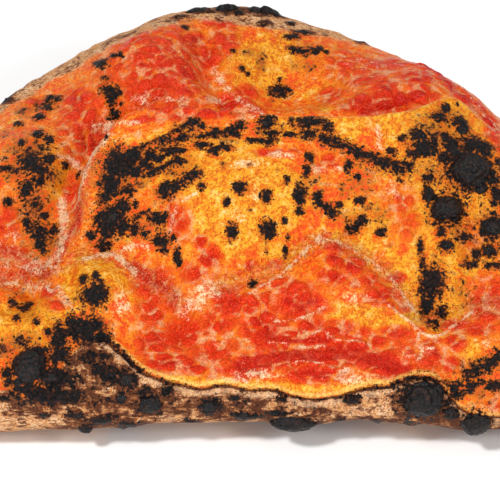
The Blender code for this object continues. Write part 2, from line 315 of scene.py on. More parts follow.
# Char spots: x, s, half width, half height
CHAR_SPOTS = [
    # lower left, round the big blister
    (-66.6, -34, 5.5, 5), (-58.5, -37.6, 6, 3.6), (-62.5, -43.2, 7, 3), (-55, -43.5, 5, 2.4),
    (-68.6, -41, 3.5, 1.6), (-74, -36, 2, 1.4), (-73, -39, 1.5, 1), (-75, -44, 2, 0.9),
    (-52.4, -49.3, 3, 1), (-43.3, -50.3, 3.5, 1.2), (-34.7, -52, 4, 1.3), (-37.7, -43.7, 1.8, 1.6),
    (-28.6, -45.7, 3.8, 3), (-30, -41.7, 2, 1.5), (-23, -41.9, 2, 1.8), (-9.4, -46.7, 3.3, 2.3),
    (-15.5, -51, 3, 0.8), (-1.3, -43.7, 1.6, 1.2), (1.2, -49.5, 3, 1.4), (-49.4, -22.4, 5.5, 3.8),
    (-52.5, -20.4, 3, 2.4), (-45.3, -21, 2.6, 2.6), (-44.5, -25, 3, 1.8), (-57.5, -25, 2.6, 4.4),
    (-61, -23, 1.2, 1.2), (-57, -30, 3.4, 3), (-64.5, -29, 3.6, 1.6), (-47.4, -31, 3.2, 2),
    (-42.8, -31, 1.8, 1.4), (-44.8, -35.2, 2.6, 2.6), (-40.8, -37, 3.6, 2.6), (-36.2, -38, 3.2, 3),
    (-62, -49, 1.4, 1.2), (-49, -53, 2.2, 1.8),
    # swell in front of the pinch, and the small spots left of it
    (-46.3, -11.3, 3.6, 3.2), (-43.8, -11, 2, 2.4), (-49.9, -6.2, 1.2, 1.7), (-45.8, -5.2, 1.1, 1.9),
    (-43.9, -8.4, 1.2, 1.8), (-72.4, -13.6, 1.1, 1.7), (-68.4, -15.6, 1.7, 1.5), (-66.6, -14, 1, 1),
    (-71, -18.4, 1, 1.6), (-64.8, -19.6, 1, 1),
    # left shoulder
    (-74, 50.4, 2.4, 0.9), (-59.3, 50.9, 2.6, 1), (-63.7, 45.5, 1.8, 1.2), (-61, 48.2, 1.4, 1),
    (-70.4, 43.3, 1.4, 0.9), (-64.4, 39.7, 1.6, 1.5), (-60.8, 38, 1.4, 1.4), (-69.5, 37, 1.2, 1.6),
    (-60.6, 31.7, 1.8, 1.6), (-66.4, 30.6, 3.6, 3.2), (-64.2, 28.2, 2.6, 2), (-67.7, 22.4, 2, 2.8),
    (-63.7, 24.6, 1.6, 1.4), (-74.9, 29, 2, 1), (-55.7, 29.9, 1.1, 1.3), (-50.8, 26.8, 1.1, 1),
    (-73.5, 18.4, 1.5, 1.2), (-62, 14.4, 1.2, 1), (-65.5, 17.5, 1.4, 1.2), (-67.7, 11.7, 1.4, 1.8),
    (-63.3, 8.8, 2.8, 2.4), (-63.3, 4.8, 1.6, 2.2), (-59, 9.5, 1.3, 1.9), (-41, 53.5, 2.6, 1.9),
    (-39.2, 52.6, 1.5, 1.2), (-41, 50.2, 1.2, 1.4), (-37.5, 50, 0.6, 0.6), (-39.7, 46.2, 1.4, 1.5),
    (-41.5, 45.1, 0.8, 0.8), (-42, 38.8, 0.7, 0.5),
    # left end of the crest
    (-38.4, 30, 4.9, 4.9), (-41, 24.5, 3.4, 4), (-34.5, 32.6, 3.8, 2.4), (-42.8, 19.7, 2.2, 1.8),
    (-28.1, 33, 2.4, 1.6), (-40.6, 13, 4.6, 4.2), (-37.5, 17, 2.6, 2.4), (-37, 10.8, 2.1, 2.4),
    (-47.3, 7.7, 1.5, 1.5), (-43.3, 4.6, 2.4, 1.6), (-45, 12.4, 1.6, 1.6), (-23.7, 21.9, 2.1, 2.5),
    (-33, 17.5, 0.8, 1.1), (-25.9, 13, 2.7, 1.9), (-33.2, 9.5, 1.7, 2.1), (-30.3, 7.7, 1.1, 1),
    (-25, 5.9, 2.2, 2.1), (-24, 3.2, 1.4, 1.2), (-33, 28, 2.6, 2.2), (-30.4, 30, 2.4, 1.6),
    (-36, 22, 2.2, 1.8), (-42, 8.6, 2.2, 2.2), (-21, 34.5, 3.0, 1.2), (-26.5, 32.2, 2.2, 1.0),
    (-12, 36.4, 2.6, 1.0),
    # along the crest
    (-14.5, 43.8, 2.1, 1.2), (-11.8, 42.3, 0.8, 1.2), (-17.5, 38.7, 1.6, 1.4), (-18.4, 34.7, 1.5, 0.8),
    (-19.6, 31, 1.9, 1.3), (-8.6, 34.2, 1.6, 0.9), (-5.2, 35.7, 2.8, 0.9), (-7.5, 40.4, 2.4, 1.3),
    (-2.9, 40.8, 2.2, 1), (-0.1, 43, 2.2, 1.2), (8.8, 44, 2.8, 1.5), (10.1, 40.2, 2.1, 0.8),
    (9.2, 37.2, 1.5, 0.9), (16.3, 44.2, 0.9, 1.1), (16, 39.8, 2, 0.8), (22, 39.5, 2.2, 1.2),
    # spots on the tongue
    (-12.2, 23.4, 1.2, 1.1), (-0.1, 22.8, 1.9, 1.8), (8.4, 20, 1.6, 1.9), (-4.3, 18.3, 1.1, 1.3),
    (-2.6, 9, 1.5, 2.7), (8.8, 9.8, 2.2, 2.6), (14.8, 25.2, 0.9, 1.2), (22.2, 32.7, 1.3, 1.5),
    (21.1, 28, 1.1, 2.2), (19, 20.4, 1.7, 2.9), (19, 15.3, 1.3, 1.1), (24.5, 20, 1.4, 1.6),
    (31.3, 17.4, 1.5, 0.9), (34.5, 30.2, 1.3, 1.7), (37.3, 26.2, 1.2, 1), (36, 10.2, 2, 1.6),
    (38.6, 12.6, 1.4, 1.5), (38, 18.8, 1.6, 1.1), (44.8, 8.6, 1.5, 1.2), (-21.3, 6.6, 0.9, 1.1),
    (-19.9, 1.3, 1.2, 2.5), (4.1, -7.8, 1.2, 1.2), (14.3, 2.4, 0.7, 1.8), (14.1, 12.3, 0.8, 1.1),
    (15.2, 7.2, 0.6, 1),
    # right end of the crest
    (51.6, 38.5, 1.2, 1.2), (57, 39.7, 2.2, 1.8), (58.4, 35.6, 4, 2.6), (55, 33.8, 2, 1.5),
    (61.6, 37.7, 1.2, 1.2), (65.2, 48, 1.4, 1.5), (63.3, 45.5, 2.4, 1.5), (69.6, 44, 2, 1.7),
    (71, 41.6, 1.8, 2), (65.2, 39.2, 1.8, 1.4), (67.7, 36.3, 2.6, 2.2), (65.7, 32.4, 3, 1.8),
    (73, 36.6, 4, 2.2), (77, 35.2, 2.8, 2.2), (73, 28.5, 7, 6.6), (48.2, 34.3, 1.4, 1.2),
    (53.6, 30, 1.6, 1.3), (51, 25, 1, 0.6), (60, 26, 1.7, 1.3), (60, 21, 1.6, 2.2),
    (65.7, 15.6, 4.6, 4.8), (63.8, 8.8, 1.6, 1.4), (65.7, 4.2, 2.1, 2), (71.6, 7.1, 2.3, 1.3),
    (75, 1.6, 1.3, 1.7), (72.7, -1.5, 2.2, 1), (79.3, 2.7, 2.2, 1.9), (80.3, 10.4, 4, 3.6),
    (81.3, 20.7, 1.8, 3.3), (80.8, 25, 1.4, 1.4), (81.8, 31, 1, 1.4), (81, -2, 2.8, 1.1),
    # right cheek and its streak
    (57.3, 3.9, 0.9, 2.3), (58.1, -0.8, 0.9, 2), (61.2, -7.4, 3.8, 4.6), (59.4, -14.6, 2, 2.6),
    (64.2, -16.6, 1.6, 1.9), (62.4, -20.2, 0.8, 1.8),
    # front right
    (57.9, -44.6, 7, 5.4), (67, -49, 2.1, 1.8), (75, -52, 4.5, 3.4), (68.5, -40.6, 1.6, 1.6),
    (81, -40, 2.8, 1.6), (16.9, -52.5, 6.6, 2.4), (35.6, -44.1, 2.6, 1.3), (13.3, -44.3, 1.6, 1),
    (11.3, -48.7, 3.8, 1), (4.7, -49.5, 1.8, 0.9), (32, -50.7, 1.6, 0.6), (43.2, -50.7, 1.6, 0.7),
    (52.8, -52.2, 4, 0.8),
    # bowl, back shoulders and rim
    (12.6, 53.7, 3.1, 1.6), (-2, 66.3, 0.8, 0.6), (0.5, 60.7, 1, 0.8), (2.5, 59, 0.8, 0.6),
    (12.6, 57.2, 0.7, 0.7), (7.6, 74.9, 1.7, 0.8), (16.2, 74.9, 1.3, 0.5), (19.7, 72.1, 2.6, 0.8),
    (16.4, 70.4, 2.2, 0.8), (27.3, 65.8, 0.8, 0.7), (-17.7, 73.4, 1.2, 0.6), (-18.8, 76.7, 2.1, 0.5),
    (-38, 65.3, 1, 0.8), (-40.3, 64.8, 0.8, 0.6), (-44, 62.3, 2.2, 1.3), (-42.8, 57.7, 1.2, 0.8),
    (-13.7, 80, 3.6, 1.8), (-4, 80.5, 4, 1.8), (5, 80, 2.4, 1.4), (9.6, 78.6, 3.8, 1.6),
    (-10, 78.4, 1.6, 0.6), (-0.5, 78.2, 1.4, 0.6), (41.3, 69.2, 3, 0.8), (63.5, 60.3, 1.6, 0.7),
    (68.9, 49.4, 0.6, 0.5),
]

# Char lines: their points, half width
CHAR_LINES = [
    ([(-44, -24.8), (-40.8, -26.8), (-37.7, -29.2), (-34.2, -32.8), (-30.7, -35.6)], 0.9, 0.7),
    ([(-31, -35.4), (-25.6, -37.8), (-19.5, -39.6), (-12.4, -41.2), (-5.4, -40), (2.7, -41.6)], 0.7, 0.5),
    ([(2.7, -41.6), (10.8, -41.6), (15.9, -43.4), (23.4, -44.8), (31.5, -43.6), (36, -42.1),
      (42.2, -40.6)], 0.7, 0.5),
    ([(42.2, -40.6), (47.2, -40.4), (51.8, -38.3), (57.9, -37.2), (62.9, -38.4), (67, -39.8)], 0.9, 0.6),
    ([(72.5, -36.5), (77, -34), (83, -31)], 2.6, 0.75),
    ([(68, -43.5), (72, -41.5), (76.5, -38.8)], 1.4, 0.75),
    ([(-29, 26.8), (-25.5, 28.6), (-21.5, 30.6)], 1.5, 0.75),
    ([(-21.3, 22.5), (-18, 25.1), (-13.7, 27.3)], 2.0, 0.75),
    ([(-26, 37), (-21, 38), (-17, 38.6)], 1.2, 0.75),
    ([(-33.5, 35), (-28, 37), (-22, 40), (-16, 43.5)], 0.8, 0.75),
    ([(-13, 39), (-9, 39.4), (-5, 40), (0, 39.6)], 0.8, 0.75),
    ([(2.5, 38), (7.5, 38.1), (11.5, 38.4)], 0.9, 0.75),
    ([(18.8, 42.5), (22, 44.2), (25.8, 43.2), (28.2, 41.6)], 1.8, 0.75),
    ([(25.8, 38.7), (30.1, 37.4), (34.7, 35.6), (38, 33)], 2.0, 0.75),
    ([(38, 33.4), (41.5, 31.8), (45.3, 31), (51.1, 29.2)], 2.3, 0.75),
    ([(25, 17.9), (28, 16.4), (29.8, 14.3)], 1.5, 0.75),
    ([(60, -19), (59.8, -21.5)], 0.8, 0.75),
    ([(16.2, 66.8), (20.2, 65.8), (25.3, 66.8)], 1.4, 0.75),
    ([(-33.5, 13.5), (-29, 15.2)], 0.8, 0.75),
]

# Browned patches that have not turned black
BROWN_SPOTS = [
    (-32, -45, 24, 4, 0.78), (-4, -45.6, 15, 3.6, 0.74), (14, -47, 14, 3.0, 0.5),
    (-58, -38, 13, 9, 0.8), (36, -46, 10, 1.8, 0.35), (-69.6, -26, 5, 3), (-75, -28, 4, 3),
    (-72, -42, 4, 2), (-60, -47, 8, 2.5, 0.8), (-46, -45, 8, 4, 0.8), (-38, -49, 5, 1.6, 0.6),
    (-52, -38, 5, 4, 0.8), (-46.3, -11.5, 4.6, 4.2), (-38, -46, 5, 3, 0.7), (-20, -44, 6, 2.5, 0.65),
    (-8, -48, 5, 3, 0.6), (4, -45.5, 8, 2.2, 0.75), (14, -47, 6, 2.5, 0.7), (36, -44.5, 5, 2, 0.75),
    (28, -47.5, 6, 1.2, 0.6), (60, -42, 9, 6, 0.8), (70, -50, 8, 4, 0.75), (76, -42, 6, 4, 0.7),
    (-66, 33, 7.5, 8), (-71.7, 27.7, 4, 3), (-65.5, 17, 5.5, 8), (-60.2, 26.4, 3, 4), (-63, 7, 5, 6),
    (-68.6, 47.3, 2.4, 2), (-62, 49, 4, 2), (-75, 40, 3, 2, 0.7), (-39, 27, 6, 7),
    (-31.7, 24.2, 2, 1.4), (-33, 35, 5, 1.4), (-24, 36, 5, 2, 0.9), (-22, 28, 3, 2, 0.8),
    (-40, 12, 6, 5.5), (-29, 10, 6, 4.5, 0.75), (-46, 7, 3, 3, 0.7), (-16, 41, 5, 3.4, 0.85),
    (-5, 39.5, 6, 2.2, 0.85), (9, 41.5, 5, 3, 0.8), (-18, 31, 4, 3, 0.7), (-30, 30, 5, 4, 0.75),
    (22, 40.5, 4, 2.4), (3, 30, 1, 0.8), (-5.4, 30.2, 1.3, 1.1, 1), (11.8, 28.5, 0.7, 0.7),
    (3, 16, 0.8, 0.7), (8.4, 3.4, 0.6, 1.8), (32.5, 23, 1.3, 1.2), (41, 16.4, 2, 1.3),
    (33, 20, 2, 1, 0.8), (47.7, 4.4, 0.8, 0.7), (44, 30, 8, 3, 0.7), (62, 39, 8, 7, 0.85),
    (73, 30, 9, 9, 0.9), (66, 15, 6.4, 6.4, 0.8), (70, 8, 4, 3, 0.8), (79, 10, 5, 7, 0.85),
    (74, 0, 4, 3, 0.7), (60, 45.3, 1.2, 1), (60.8, -6, 4.8, 7, 0.8), (61, -16, 4, 4, 0.8),
    (75, -35, 7, 3.4, 0.75), (7, 63.4, 1.7, 3.2, 0.85), (3, 65.8, 2.4, 1.3, 0.85),
    (20.7, 62, 5, 2.6, 0.62), (21, 67, 5, 2, 0.6), (-20, 76, 5, 1, 0.6), (-41, 54, 3.6, 3, 0.75),
    (10, 50.8, 1, 0.8, 0.8), (-0.5, 47, 3, 1.4, 0.5), (26, 48, 5, 2, 0.5), (38, 24, 5, 5, 0.62),
    (36, 12, 5, 4, 0.66), (44, 14, 4, 5, 0.62), (22, 24, 6, 8, 0.55), (62, 28, 8, 6, 0.66),
    (70, -10, 8, 6, 0.55), (66, 46, 6, 4, 0.66), (-25, 20, 4, 6, 0.5), (-70, -12, 5, 4, 0.5),
    (-66, -18, 5, 3, 0.5), (-52, -14, 5, 5, 0.5), (-59, 28, 4, 6, 0.45), (70, 20, 8, 10, 0.5),
]

# Tomato: x, s, half width, half height, how red (1 is deepest). In the hollow behind the crest and at the
# foot of the right back wall the deep red is partly painted shade.
RED_SPOTS = [
    # left back shoulder
    (-26, 60, 16, 15, 0.72), (-31, 62, 3.4, 2.8, 1), (-25, 61, 3, 3.4, 0.95), (-15.2, 69.3, 5, 2, 1),
    (-6, 76, 4.6, 1.8, 1), (-17.2, 58.7, 4.2, 3.6, 1), (-17.2, 53.7, 3.2, 2, 1),
    (-25.8, 47.5, 2.4, 2.8, 1), (-11.2, 63.8, 4, 3.4, 0.95), (-21, 66, 4, 2.6, 0.9),
    (-18, 48, 8, 3, 0.7), (-34, 70, 8, 4, 0.6), (-10, 47, 8, 1.8, 0.72),
    # left shoulder
    (-50, 44, 7, 11, 0.7), (-52, 51, 4, 3, 0.9), (-48, 42, 2.6, 2.2, 0.95), (-47, 36, 3, 3, 0.9),
    (-45.5, 40.5, 2.4, 1, 1), (-53, 20, 2.4, 6, 0.75), (-51.5, 14, 1.2, 4, 0.9), (-64, 50, 3, 1, 0.9),
    # hollow behind the crest, its deep red partly painted shade
    (-2, 49.4, 4.6, 2.2, 1.1), (3, 47.2, 4, 1.6, 0.95), (2, 53, 3.6, 2, 0.72), (29, 52, 4, 3, 0.6),
    (-5, 70, 4, 5, 0.62),
    # right back wall, its deepest red at the foot partly painted shade
    (46.3, 54.7, 3.4, 3, 1), (56.5, 57.7, 5.4, 3.2, 1), (41.4, 49.4, 7, 2.4, 1), (50, 51, 9, 3, 0.9),
    (36, 49, 4, 2.4, 0.72), (57, 53, 5, 2, 0.9), (40, 58, 7, 3, 0.6), (33, 62, 6, 5, 0.55),
    (47, 62, 10, 3, 0.62),
    # left end
    (-75, 12, 5, 7, 0.62), (-72.6, 2.5, 5, 1.3, 1), (-69, -4.3, 5, 1.2, 0.9),
    (-60.6, -9.7, 2.2, 2.4, 0.95), (-75, -5, 5, 2, 0.7), (-63, -3, 5, 1.4, 0.8), (-80, 2, 6, 8, 0.6),
    (-58, -14, 3, 2, 0.6),
    # tongue and left basin
    (-19.5, 12, 3.4, 6, 0.62), (-12.5, 5.4, 2, 1.8, 0.9), (-9.8, 0.6, 3, 2.8, 1.05),
    (-13.5, -4, 5, 3, 0.72), (-27, -8, 5, 5, 0.8), (-20, -13, 4, 3, 0.75), (-28, -17, 4, 5, 0.72),
    (-27, -26, 5, 5, 0.85), (-18, -24, 8, 6, 0.75), (-22, -32.5, 6.5, 2.6, 1.05),
    (-15, -33.5, 6, 2.2, 0.95), (-9, -29, 8, 5, 0.7), (-2.8, -13.8, 5, 4.4, 0.9), (-7, -20, 6, 4, 0.7),
    (-6, -35, 7, 2.4, 0.6), (3.6, -1.8, 1.7, 1.5, 0.9), (11, -1.6, 2.4, 1.6, 0.62),
    (8, 34, 2, 0.8, 0.8), (28.8, 31.4, 2.4, 1.8, 0.8), (14, 34.8, 9, 0.8, 0.5),
    (-16, 45.6, 9, 1.2, 0.75), (0, 46, 6, 0.9, 0.7),
    # front basin
    (6, -18, 6, 7, 0.85), (9, -24, 7, 5, 0.9), (18.9, -14, 7, 4.6, 0.92), (15, -9, 9, 3, 0.66),
    (18.4, -25, 3.2, 2.6, 1), (25, -25, 3.4, 2, 1), (22.4, -20.6, 4, 2, 0.92), (31.5, -22, 5, 2.2, 0.9),
    (37, -23.6, 4.4, 1.8, 0.85), (42.7, -26, 3.4, 1.6, 0.85), (24, -36.2, 7.4, 2.2, 1.1),
    (49.8, -23.4, 4, 2, 0.75), (52, -28, 6, 4, 0.55),
    # under the long crease
    (30, 0.6, 2.1, 2, 1.1), (35, -2.1, 3.2, 2.3, 1.1), (29.5, -5.5, 3.8, 2.1, 0.95),
    (30.5, 3.8, 3.2, 1.2, 0.85), (49.8, -5.7, 2.1, 1.4, 1), (45.5, -11.8, 4.6, 2.2, 0.95),
    (50.8, -14.8, 3, 1.6, 0.85), (41, -7, 4, 2.4, 0.6), (36.5, -7.5, 2, 1.6, 0.72),
    (35, 9, 2, 1.6, 0.6),
    # right front
    (79, -13.5, 4.6, 6, 0.95), (68.5, -26, 2.4, 2.2, 0.92), (62.4, -29.5, 3.4, 1.8, 0.95),
    (67, -33.5, 3.2, 2.2, 0.85), (61, -26, 2.4, 1.2, 0.8), (69, -20.8, 4, 1.6, 0.75),
    (76, -22, 5, 2, 0.75), (60, -32, 8, 4, 0.55), (82, -47, 4, 4, 0.6), (51, 19, 4.6, 5, 0.45),
    (53, 11, 4, 4, 0.42), (73.5, 8, 5, 5, 0.4),
]

# Lines of deeper red; three of them deepen it as painted shade along a crease and in hollows
RED_LINES = [
    # painted shade: deep red down the crease left of the tongue
    ([(-33.5, -2.6), (-31, -4.5), (-27.6, -7.4), (-23, -9), (-20, -12.3)], 1.6, 1.1),
    ([(1, -33.5), (13.3, -30.4), (26, -30), (36, -29.6), (43.7, -32), (51, -35.2)], 3.2, 1.3),
    ([(8, -21), (12, -25), (20, -25.6), (28, -25)], 1.6, 1.1),
    ([(15, -13), (19, -15), (24, -13)], 2.2, 1.1),
    # painted shade: the deepest red along the foot of the right back wall
    ([(39, 47), (44, 48), (48.7, 49.2), (57.5, 52.6)], 1.5, 1.2),
    ([(59, 61.2), (64, 58), (68.6, 54), (75.5, 47.7), (82.3, 39.4), (90, 30)], 3.2, 0.9),
    ([(-51.3, 14.4), (-54.8, 6.8), (-58.4, -1.2), (-61.5, -4.8), (-68, -6.5)], 0.7, 1.1),
    ([(-76, 4.1), (-68.6, -0.3), (-62, -2.4)], 0.9, 1.1),
    ([(-22, 19.5), (-22.4, 14), (-21, 9)], 1.0, 0.6),
    # painted shade: deep red in the hollow just behind the crest
    ([(-34, 43.6), (-26, 45.4), (-16, 46.4), (-6, 46)], 0.9, 0.85),
]

# Pale lines and patches, where the dough or the fat shows, and painted highlights along the crest and in the
# hollow behind it
PALE_LINES = [
    ([(-41.5, 39.5), (-45.9, 34), (-49, 26.8), (-52, 17.5)], 1.2, 1),
    ([(-57.5, 33), (-53, 30.5), (-49.5, 27.5)], 1.5, 0.8),
    ([(-56.2, 19), (-56.4, 9), (-57.6, 2), (-61, -1.6), (-64.6, -0.8)], 1.7, 0.9),
    ([(-49.5, 0.2), (-44, 1.1), (-40.2, 1.3), (-36, -1.6), (-33, -4.2)], 1.0, 1),
    ([(-37, 3.3), (-33, 4.8), (-29, 4)], 1.0, 0.8),
    ([(-76, -1.4), (-70, -2.2), (-64, -3.8)], 0.9, 0.8),
    ([(-76, -8), (-69, -7.4), (-62, -8.6), (-58, -11.5)], 1.2, 0.7),
    ([(-58, -9), (-56, -12), (-53, -15.6)], 1.2, 0.8),
    ([(-8, 60.4), (-4.4, 54.4), (0.4, 50.4), (6, 47)], 1.2, 0.75),
    # a painted highlight along the crest
    ([(3, 45.7), (7, 46), (11, 45.8)], 0.4, 1),
    ([(2.5, -11), (8, -8), (13, -5), (18.5, 0.4), (22.4, 4.4), (26, 6)], 0.7, 0.75),
    ([(26, 6.2), (31, 5.8), (37, 2), (41.7, -1.1), (46.2, -4.2), (51.3, -10.5), (55.8, -17)], 0.7, 0.7),
    ([(47, -14.6), (51, -17.6), (55.3, -21), (58.9, -23.8), (63.9, -23.8), (69, -20.2),
      (74, -16.6)], 0.5, 1),
    ([(55.5, -21.5), (57, -26), (57.4, -31)], 0.6, 0.8),
    ([(9, -26), (14, -26.6), (20, -27.6), (27, -27)], 0.5, 0.7),
    ([(10, -19), (15.8, -19.6), (21, -17.8), (27, -14.8)], 0.5, 0.7),
    ([(19.6, -21.8), (22, -24), (26.5, -22), (30, -25.4), (36, -25.6), (41, -27)], 0.5, 0.75),
    ([(15.6, -33.6), (20, -32.4), (27, -33), (31.6, -35.6)], 0.5, 0.8),
    ([(43.5, 42.2), (44.4, 38.4), (43.8, 35.4)], 1.1, 0.6),
    ([(73, 52), (78.5, 45), (83, 39.5)], 0.4, 0.8),
    ([(-22.4, 8), (-21, 14), (-19, 18), (-14, 21)], 0.8, 0.7),
    ([(38, 16.8), (28.4, 13), (27, 7)], 0.6, 0.5),
]
PALE_SPOTS = [
    # painted highlights: the first four spots, along the left crest and on the wall of the hollow behind the
    # crest
    (-41, 42.2, 4.6, 1.7), (-45, 42.6, 2, 1.4), (-35.5, 43.4, 4, 0.9, 0.8), (-8.6, 50.4, 3, 1.4),
    (-31, 50, 4, 2.6, 0.6), (11.5, 33.4, 3.2, 1.1, 0.9), (15, 33, 3, 1, 0.8),
    (24.5, 28.6, 3, 1.6, 0.85), (31, 29, 3, 1, 0.7), (2, 30.6, 6, 2, 0.62),
    (-15.5, -14.4, 4.6, 3.6, 0.75), (-10.4, -9.8, 5, 2.6, 0.8), (-38, -13, 3.4, 5, 0.66),
    (-6, -26, 3, 1.4, 0.5), (0, -38, 8, 1.2, 0.7), (36, -38, 7, 1.8, 0.85), (6, -36.4, 7, 1.6, 0.85),
    (34, -35.6, 3, 1.4, 0.8), (25.6, 6.4, 1.7, 1.6, 0.95), (36, -13, 6, 3, 0.55), (60, -28, 5, 1, 0.6),
    (56, -31, 3, 1.6, 0.6), (75, -27, 5, 1.6, 0.4), (49, 22, 3, 3, 0.6), (-66, -9, 7, 2, 0.62),
    (-72, 7, 5, 3, 0.5), (-20, 51, 6, 1.2, 0.5), (40, 62, 5, 2, 0.5), (36, 55, 2, 4, 0.5),
    (-1.5, 14, 4, 3, 0.5), (4, 22, 5, 5, 0.42), (-2, -41, 2, 0.6, 0.5),
]

# Strong yellow, where fat has browned to gold
GOLD_SPOTS = [
    (0, 20, 15, 14, 0.9), (-20, 30, 8, 8, 0.9), (40, 12, 9, 6, 0.6), (-57, 32, 4, 8, 1),
    (-48, -6, 8, 8, 0.9), (-68, -20, 9, 6, 1), (5, 62, 10, 8, 0.9), (-41, 52, 5, 6, 0.9),
    (68, 24, 14, 22, 0.9), (38.6, -17.8, 8, 3.6, 0.9), (52, -8, 5, 9, 0.9), (66, -14, 4, 8, 0.9),
    (72, -31, 5, 3, 0.8), (40, -40.6, 8, 1.6, 0.9), (12, -40.4, 10, 1.4, 0.9),
    (-12, -38.4, 9, 1.2, 0.9), (25, 42, 12, 3, 0.8), (-60, -18, 5, 5, 0.8), (56, 46, 12, 5, 0.9),
    (30, 55, 6, 6, 0.5),
]

char = np.maximum(spot_field(CHAR_SPOTS), line_field(CHAR_LINES))
brown = np.maximum(spot_field(BROWN_SPOTS), 0.85 * np.clip(char * 1.8, 0, 1))
red = np.maximum(spot_field(RED_SPOTS), line_field(RED_LINES))
pale = np.maximum(spot_field(PALE_SPOTS), line_field(PALE_LINES))
gold = spot_field(GOLD_SPOTS)


# --------------------------------------------------------------------------------------------------
# The ends and the edges: at the tips, the back and the sole the marks are strewn by chance.
# The sauce stops short of the rim and at the seam along the fold, below which the dough is bare.
# --------------------------------------------------------------------------------------------------

SEAM = [
    (-140, -20), (-134, -32), (-122, -39), (-108, -43), (-92, -44), (-76, -41.5), (-68, -44),
    (-60, -40), (-55, -32), (-50, -27), (-44, -25), (-40.8, -27), (-37.7, -29.2), (-34.2, -32.6),
    (-30.7, -35.4), (-25.6, -37.6), (-19.5, -39.3), (-12.4, -41), (-5.4, -39.6), (2.7, -41.4),
    (10.8, -41.3), (15.9, -43.2), (23.4, -44.4), (31.5, -43.2), (36, -41.8), (42.2, -40.3),
    (47.2, -40.2), (51.8, -38.2), (57.9, -37.2), (62.9, -38.6), (67, -44), (72, -48.6), (82, -50),
    (96, -50), (110, -46), (124, -40), (134, -32), (140, -20),
]
BORDER = [
    (-92, 33), (-76, 46), (-60, 56), (-45, 65.5), (-32, 71.5), (-18, 75.4), (-10, 76), (1, 75),
    (10, 72.6), (23, 71), (32, 69.5), (45, 68), (60, 64), (75, 55), (92, 40),
]
CREASES = [
    [(-6, -8), (2.5, -6), (8, -4), (13, -2), (18.5, 1.5), (22.4, 4.4), (27, 6.2), (31, 5.8), (37, 2)],
    [(37, 2), (41.7, -1.1), (46.2, -4.2), (51.3, -10.5), (55.8, -17), (63.9, -20), (74, -16.6),
      (84, -14)],
    [(-59, -2), (-52, 1), (-44, 1.4), (-40, 1), (-36, -1.6), (-32, -4.4), (-26, -8), (-21, -12)],
    [(-59, -2), (-68, -0.5), (-78, 3)],
    [(-59, -2), (-66, -6), (-76, -8)],
    [(-58.4, -1.2), (-54.8, 6.8), (-51.3, 14.4), (-49, 26.8), (-45, 36)],
]


def grain(size, stretch=(1, 1, 1), seed=0):
    """Soft noise over the skin, -1 to 1, with lumps of about this size in millimetres."""
    scaled = spots / MM / size / np.array(stretch) + seed * 17.31
    return np.array([noise.noise(Vector(spot)) for spot in scaled])


wobble = grain(9, seed=1)
ripple = grain(3, seed=2)
seam_line = curve_through(SEAM, steps=4) / MM
seam = layout[:, 1] - np.interp(layout[:, 0], seam_line[:, 0], seam_line[:, 1])
lost = 1 - soft_step((np.abs(layout[:, 0] - 10) - 84) / -8)
lost = np.maximum(lost, 1 - soft_step((layout[:, 0] + 50) / 6))
seam = np.where(back < 0.5, np.clip(seam + np.where(seam > 0, 4, -4) * lost, -8, 8), 8)
border_line = curve_through(BORDER, steps=4) / MM
border = layout[:, 1] - np.interp(layout[:, 0], border_line[:, 0], border_line[:, 1])
turned_away = 0.10 - normals @ np.array(OUT)
front_bare = soft_step(0.5 - seam / 0.9)
back_bare = soft_step(0.5 + (border + 1.2 * wobble + 0.8 * ripple) / 1.4) * soft_step((back - 0.6) * 8)
rolled_under = soft_step(turned_away / 0.2) * soft_step((rho - 0.80) / 0.08) * (back > 0.5)
back_bare = np.maximum(back_bare, rolled_under)
bare = np.clip(np.maximum(front_bare, back_bare) + (rho > 1), 0, 1)
crease = 8 - 8 * line_field([(points, 4) for points in CREASES])

chance = np.random.default_rng(41)
unseen = np.abs(layout[:, 0]) > 84
end_marks, end_reds, end_golds = [], [], []
for side in (-1, 1):
    for _ in range(34):
        x = side * chance.uniform(86, 136)
        end_marks.append((x, chance.uniform(-40, 28), *chance.uniform(0.8, 2.6, 2)))
    for _ in range(9):
        x = side * chance.uniform(86, 132)
        end_reds.append((x, chance.uniform(-30, 20), *chance.uniform(3, 8, 2), chance.uniform(0.6, 1)))
        x = side * chance.uniform(84, 130)
        end_golds.append((x, chance.uniform(-35, 20), *chance.uniform(5, 10, 2), 0.9))
for _ in range(14):
    cluster = chance.choice((-1, 1)) * chance.uniform(88, 122), chance.uniform(-40, 5)
    for _ in range(7):
        x, s = np.array(cluster) + chance.normal(0, 3.2, 2)
        end_marks.append((x, s, *chance.uniform(0.9, 2.8, 2)))
char = np.maximum(char, spot_field(end_marks) * unseen)
red = np.maximum(red, spot_field(end_reds) * unseen)
gold = np.maximum(gold, spot_field(end_golds) * unseen)

# spots on the bare dough of the back wall and round the sole, which no pattern reaches
below_rim = layout[:, 1] < 76
hidden = (back > 0.5) & (spots[:, 2] > 3 * MM) & (rho > 0.95) & below_rim | (rho > 1.02)
for vertex in chance.choice(np.flatnonzero(hidden), 150):
    wide = chance.uniform(1, 2.4)
    radius = 2.4 * chance.uniform(0.5, 1) ** 2
    away = np.linalg.norm((spots - spots[vertex]) / (wide, wide, 1), axis=1) / MM / radius
    char = np.maximum(char, chance.uniform(0.5, 1) * np.clip(1 - away / 2, 0, 1))
unreached = np.clip(soft_step((rho - 0.9) / 0.1) * (back > 0.5) + (rho > 1), 0, 1) * below_rim
toast = np.clip(0.30 + 0.8 * grain(13, stretch=(2, 1, 1), seed=10), 0, 0.65) * unreached
brown = np.maximum(brown, np.maximum(toast, 0.85 * np.clip(char * 1.8, 0, 1)))


